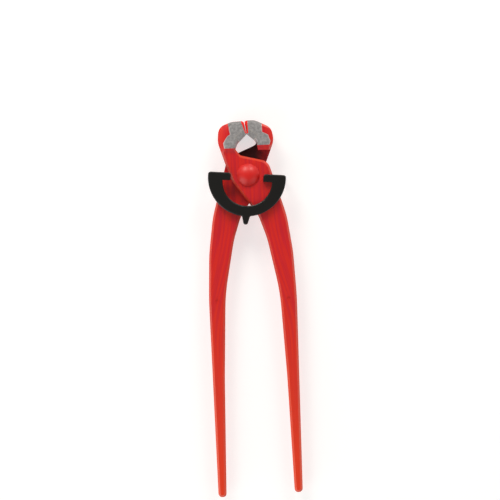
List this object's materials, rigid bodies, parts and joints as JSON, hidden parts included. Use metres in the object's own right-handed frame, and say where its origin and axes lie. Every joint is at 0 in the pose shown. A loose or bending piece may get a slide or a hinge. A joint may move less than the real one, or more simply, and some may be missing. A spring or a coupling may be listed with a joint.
{
  "type": "tile nippers",
  "caption": "Forged parrot-beak tile nippers with carbide-tipped jaws on a riveted half-lap joint, bare painted handles, and a moulded crescent clip over the joint.",
  "frame": {"origin": "on the rivet's axis, in the plane the tool rests on, at the middle of the rivet's flat rear head", "axes": "+Z out of the front, through the rivet; +Y from the pivot towards the jaws; +X to the right, seen from the front with the jaws up"},
  "size_m": [0.0506, 0.2161, 0.017],
  "materials": {
    "arm_paint": "gloss red stoving enamel over drop-forged steel, ground bare on the jaws' faces",
    "rivet_paint": "gloss red enamel over a forged steel rivet",
    "carbide": "fine-ground tungsten carbide",
    "braze": "thin film of silver braze",
    "clip_plastic": "black injection-moulded polypropylene"
  },
  "bodies": {
    "rear_half": {"rear_arm": "arm_paint", "rear_carbide_tip": "carbide", "rear_tip_braze": "braze", "pivot_rivet": "rivet_paint"},
    "front_half": {"front_arm": "arm_paint", "front_carbide_tip": "carbide", "front_tip_braze": "braze"},
    "clip": {"retaining_clip": "clip_plastic"}
  },
  "joints": [
    {"name": "pivot", "type": "hinge", "parent": "rear_half", "child": "front_half", "pos_m": [0, 0, 0], "axis": [0, 0, 1], "range_deg": [0, 28]},
    {"name": "clip_follow", "type": "hinge", "parent": "rear_half", "child": "clip", "pos_m": [0, 0, 0], "axis": [0, 0, 1], "range_deg": [0, 14]}
  ],
  "couplings": [
    {"joint": "clip_follow", "follows": "pivot", "ratio": 0.5}
  ]
}
